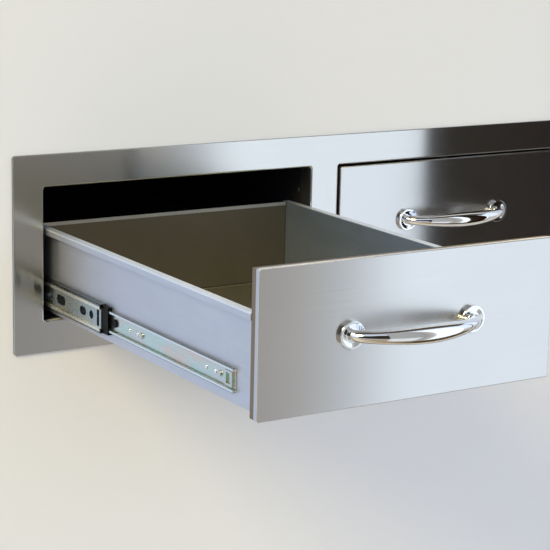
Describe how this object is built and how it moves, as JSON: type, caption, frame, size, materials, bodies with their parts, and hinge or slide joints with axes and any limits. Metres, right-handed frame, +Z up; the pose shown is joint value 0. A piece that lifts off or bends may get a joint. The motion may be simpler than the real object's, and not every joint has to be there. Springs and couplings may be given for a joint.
{
  "type": "built-in double drawer unit",
  "caption": "Built-in stainless drawer unit for an outdoor kitchen: a flat face frame with drawers side by side on ball-bearing slides, each with a bow pull handle on round rosettes.",
  "frame": {"origin": "middle of the face frame, in the plane of its hemmed back, which bears on the wall", "axes": "+X to the right seen from the front, +Y into the wall, +Z up; the drawer fronts face -Y"},
  "size_m": [0.92, 1.1447, 0.254],
  "materials": {
    "frame_steel": "brushed stainless sheet",
    "front_steel": "brushed stainless sheet",
    "backer_steel": "mill-finish sheet with a brown cast",
    "tray_steel": "satin stainless sheet",
    "handle_chrome": "polished",
    "rosette_chrome": "polished",
    "slide_zinc": "zinc-plated steel strip",
    "cage_zinc": "zinc-plated steel strip",
    "ball_steel": "ground balls",
    "fastener_steel": "plain stainless",
    "rivet_steel": "black-coated rivets",
    "stop_plastic": "black moulded plastic",
    "lever_plastic": "black moulded plastic",
    "housing_black": "black powder coat on galvanised sheet"
  },
  "bodies": {
    "housing": {"face_frame": "frame_steel", "housing_top": "housing_black", "housing_bottom": "housing_black", "housing_rear": "housing_black", "housing_rivets": "rivet_steel", "slide_plate_screws": "fastener_steel", "left_bay_left_plate": "housing_black", "left_bay_right_plate": "housing_black", "left_drawer_left_slide_outer": "slide_zinc", "left_drawer_right_slide_outer": "slide_zinc", "right_bay_left_plate": "housing_black", "right_bay_right_plate": "housing_black", "right_drawer_left_slide_outer": "slide_zinc", "right_drawer_right_slide_outer": "slide_zinc"},
    "left_drawer": {"left_front_skin": "front_steel", "left_front_backer": "backer_steel", "left_tray": "tray_steel", "left_tray_back": "tray_steel", "left_front_screws": "fastener_steel", "left_handle": "handle_chrome", "left_handle_rosettes": "rosette_chrome", "left_handle_screws": "fastener_steel", "left_drawer_slide_screws": "fastener_steel", "left_drawer_left_slide_inner": "slide_zinc", "left_drawer_right_slide_inner": "slide_zinc"},
    "left_slide_middles": {"left_drawer_left_slide_middle": "slide_zinc", "left_drawer_right_slide_middle": "slide_zinc", "left_drawer_slide_stops": "stop_plastic"},
    "left_outer_cages": {"left_drawer_left_slide_outer_cage": "cage_zinc", "left_drawer_right_slide_outer_cage": "cage_zinc", "left_drawer_outer_balls": "ball_steel"},
    "left_inner_cages": {"left_drawer_left_slide_inner_cage": "cage_zinc", "left_drawer_right_slide_inner_cage": "cage_zinc", "left_drawer_inner_balls": "ball_steel"},
    "left_drawer_left_release_lever": {"left_drawer_left_release_lever": "lever_plastic"},
    "left_drawer_right_release_lever": {"left_drawer_right_release_lever": "lever_plastic"},
    "right_drawer": {"right_front_skin": "front_steel", "right_front_backer": "backer_steel", "right_tray": "tray_steel", "right_tray_back": "tray_steel", "right_front_screws": "fastener_steel", "right_handle": "handle_chrome", "right_handle_rosettes": "rosette_chrome", "right_handle_screws": "fastener_steel", "right_drawer_slide_screws": "fastener_steel", "right_drawer_left_slide_inner": "slide_zinc", "right_drawer_right_slide_inner": "slide_zinc"},
    "right_slide_middles": {"right_drawer_left_slide_middle": "slide_zinc", "right_drawer_right_slide_middle": "slide_zinc", "right_drawer_slide_stops": "stop_plastic"},
    "right_outer_cages": {"right_drawer_left_slide_outer_cage": "cage_zinc", "right_drawer_right_slide_outer_cage": "cage_zinc", "right_drawer_outer_balls": "ball_steel"},
    "right_inner_cages": {"right_drawer_left_slide_inner_cage": "cage_zinc", "right_drawer_right_slide_inner_cage": "cage_zinc", "right_drawer_inner_balls": "ball_steel"},
    "right_drawer_left_release_lever": {"right_drawer_left_release_lever": "lever_plastic"},
    "right_drawer_right_release_lever": {"right_drawer_right_release_lever": "lever_plastic"}
  },
  "joints": [
    {"name": "left_drawer_slide", "type": "slide", "parent": "housing", "child": "left_drawer", "axis": [0, -1, 0], "range_m": [-0.51, 0.01]},
    {"name": "left_slide_middles_slide", "type": "slide", "parent": "housing", "child": "left_slide_middles", "axis": [0, -1, 0], "range_m": [-0.204, 0.004]},
    {"name": "left_outer_cages_slide", "type": "slide", "parent": "housing", "child": "left_outer_cages", "axis": [0, -1, 0], "range_m": [-0.102, 0.002]},
    {"name": "left_inner_cages_slide", "type": "slide", "parent": "housing", "child": "left_inner_cages", "axis": [0, -1, 0], "range_m": [-0.357, 0.007]},
    {"name": "left_drawer_left_release_lever_pivot", "type": "hinge", "parent": "left_drawer", "child": "left_drawer_left_release_lever", "pos_m": [-0.4066, -0.131, -0.0515], "axis": [1, 0, 0], "range_deg": [-7, 7], "stiffness_Nm_per_rad": 0.05},
    {"name": "left_drawer_right_release_lever_pivot", "type": "hinge", "parent": "left_drawer", "child": "left_drawer_right_release_lever", "pos_m": [-0.0339, -0.131, -0.0515], "axis": [1, 0, 0], "range_deg": [-7, 7], "stiffness_Nm_per_rad": 0.05},
    {"name": "right_drawer_slide", "type": "slide", "parent": "housing", "child": "right_drawer", "axis": [0, -1, 0], "range_m": [0, 0.52]},
    {"name": "right_slide_middles_slide", "type": "slide", "parent": "housing", "child": "right_slide_middles", "axis": [0, -1, 0], "range_m": [0, 0.208]},
    {"name": "right_outer_cages_slide", "type": "slide", "parent": "housing", "child": "right_outer_cages", "axis": [0, -1, 0], "range_m": [0, 0.104]},
    {"name": "right_inner_cages_slide", "type": "slide", "parent": "housing", "child": "right_inner_cages", "axis": [0, -1, 0], "range_m": [0, 0.364]},
    {"name": "right_drawer_left_release_lever_pivot", "type": "hinge", "parent": "right_drawer", "child": "right_drawer_left_release_lever", "pos_m": [0.0339, 0.379, -0.0515], "axis": [1, 0, 0], "range_deg": [-7, 7], "stiffness_Nm_per_rad": 0.05},
    {"name": "right_drawer_right_release_lever_pivot", "type": "hinge", "parent": "right_drawer", "child": "right_drawer_right_release_lever", "pos_m": [0.4066, 0.379, -0.0515], "axis": [1, 0, 0], "range_deg": [-7, 7], "stiffness_Nm_per_rad": 0.05}
  ],
  "couplings": [
    {"joint": "left_slide_middles_slide", "follows": "left_drawer_slide", "ratio": 0.4},
    {"joint": "left_outer_cages_slide", "follows": "left_drawer_slide", "ratio": 0.2},
    {"joint": "left_inner_cages_slide", "follows": "left_drawer_slide", "ratio": 0.7},
    {"joint": "right_slide_middles_slide", "follows": "right_drawer_slide", "ratio": 0.4},
    {"joint": "right_outer_cages_slide", "follows": "right_drawer_slide", "ratio": 0.2},
    {"joint": "right_inner_cages_slide", "follows": "right_drawer_slide", "ratio": 0.7}
  ]
}
